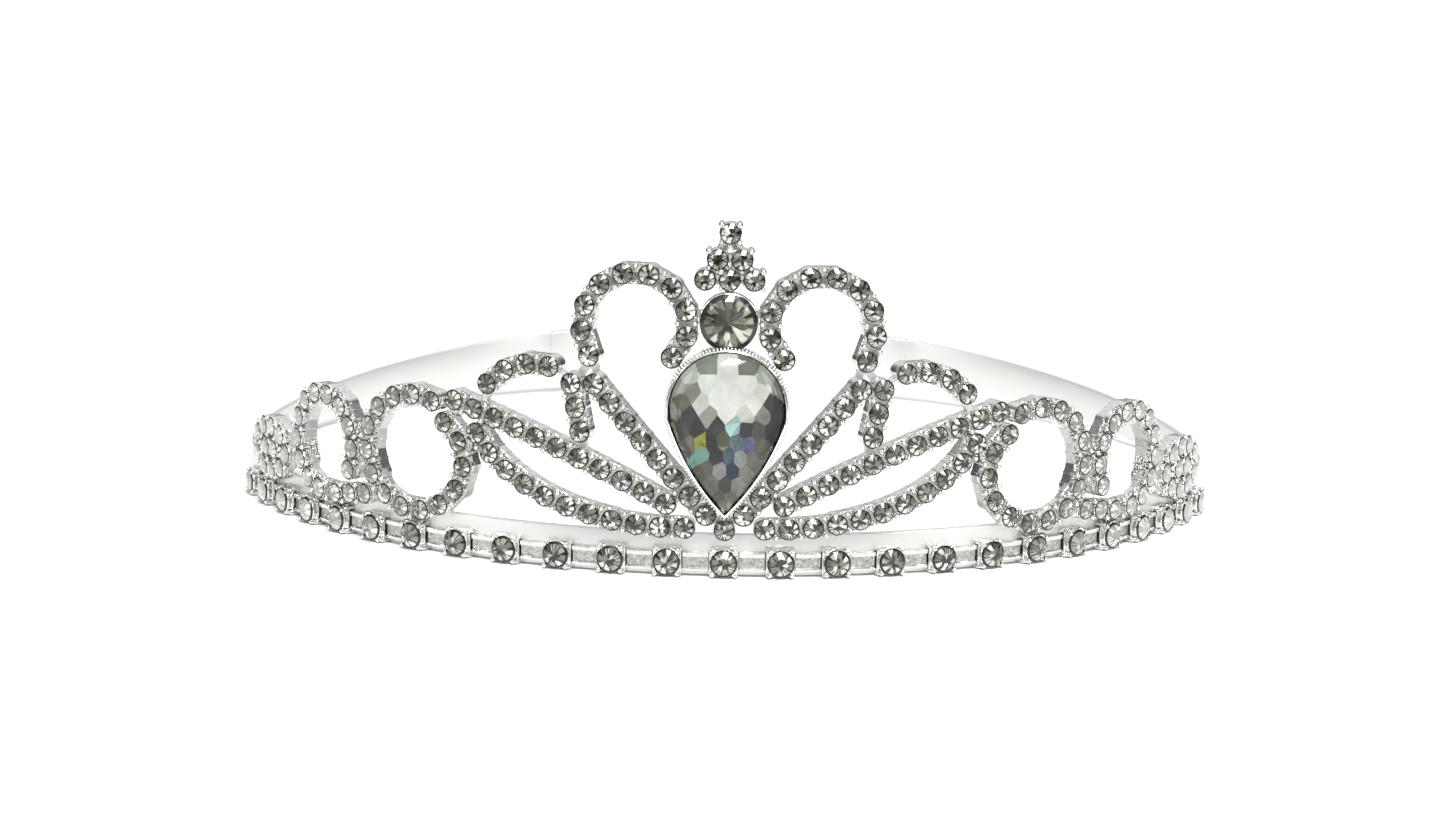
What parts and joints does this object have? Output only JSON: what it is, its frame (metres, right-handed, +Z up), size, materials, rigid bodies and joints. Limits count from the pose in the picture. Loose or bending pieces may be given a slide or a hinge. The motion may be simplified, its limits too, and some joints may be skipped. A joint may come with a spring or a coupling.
{
  "type": "bridal tiara",
  "caption": "Silver-plated bridal tiara: a sprung headband with a rim of square stone cups, carrying scrolled rails of small stones around a pear stone, a round stone and a stepped peak.",
  "frame": {"origin": "middle of the tiara's footprint, level with the headband's bottom edge at the front", "axes": "+Z up, the ornament's front faces -Y, the open back of the hoop faces +Y, +X to the right seen from the front"},
  "size_m": [0.1264, 0.1266, 0.0407],
  "materials": {
    "band_metal": "satin silver plate over spring steel strip",
    "silver_plate": "bright silver plate over cast metal",
    "rhinestone": "clear faceted glass with a silver foil back",
    "pear_glass": "clear faceted glass with a silver foil back",
    "solder": "plated solder"
  },
  "bodies": {
    "root": {"headband": "band_metal", "rim_cups": "silver_plate", "rim_links": "silver_plate", "rim_stones": "rhinestone", "pear_bezel": "silver_plate", "pear_stone": "pear_glass", "round_cup": "silver_plate", "round_stone": "rhinestone", "peak_setting": "silver_plate", "peak_stones": "rhinestone", "base_cup": "silver_plate", "base_stone": "rhinestone", "left_heart_scroll": "silver_plate", "right_heart_scroll": "silver_plate", "heart_stones": "rhinestone", "left_heart_stem": "silver_plate", "right_heart_stem": "silver_plate", "stem_stones": "rhinestone", "left_inner_ray": "silver_plate", "right_inner_ray": "silver_plate", "ray_stones": "rhinestone", "left_middle_rail": "silver_plate", "right_middle_rail": "silver_plate", "middle_rail_stones": "rhinestone", "left_lower_rail": "silver_plate", "right_lower_rail": "silver_plate", "lower_rail_stones": "rhinestone", "left_side_arch": "silver_plate", "right_side_arch": "silver_plate", "side_arch_stones": "rhinestone", "left_large_scroll": "silver_plate", "right_large_scroll": "silver_plate", "large_scroll_stones": "rhinestone", "left_small_scroll": "silver_plate", "right_small_scroll": "silver_plate", "small_scroll_stones": "rhinestone", "left_end_leaf": "silver_plate", "right_end_leaf": "silver_plate", "end_leaf_stones": "rhinestone", "rail_solder": "solder", "band_solder": "solder"}
  },
  "joints": []
}
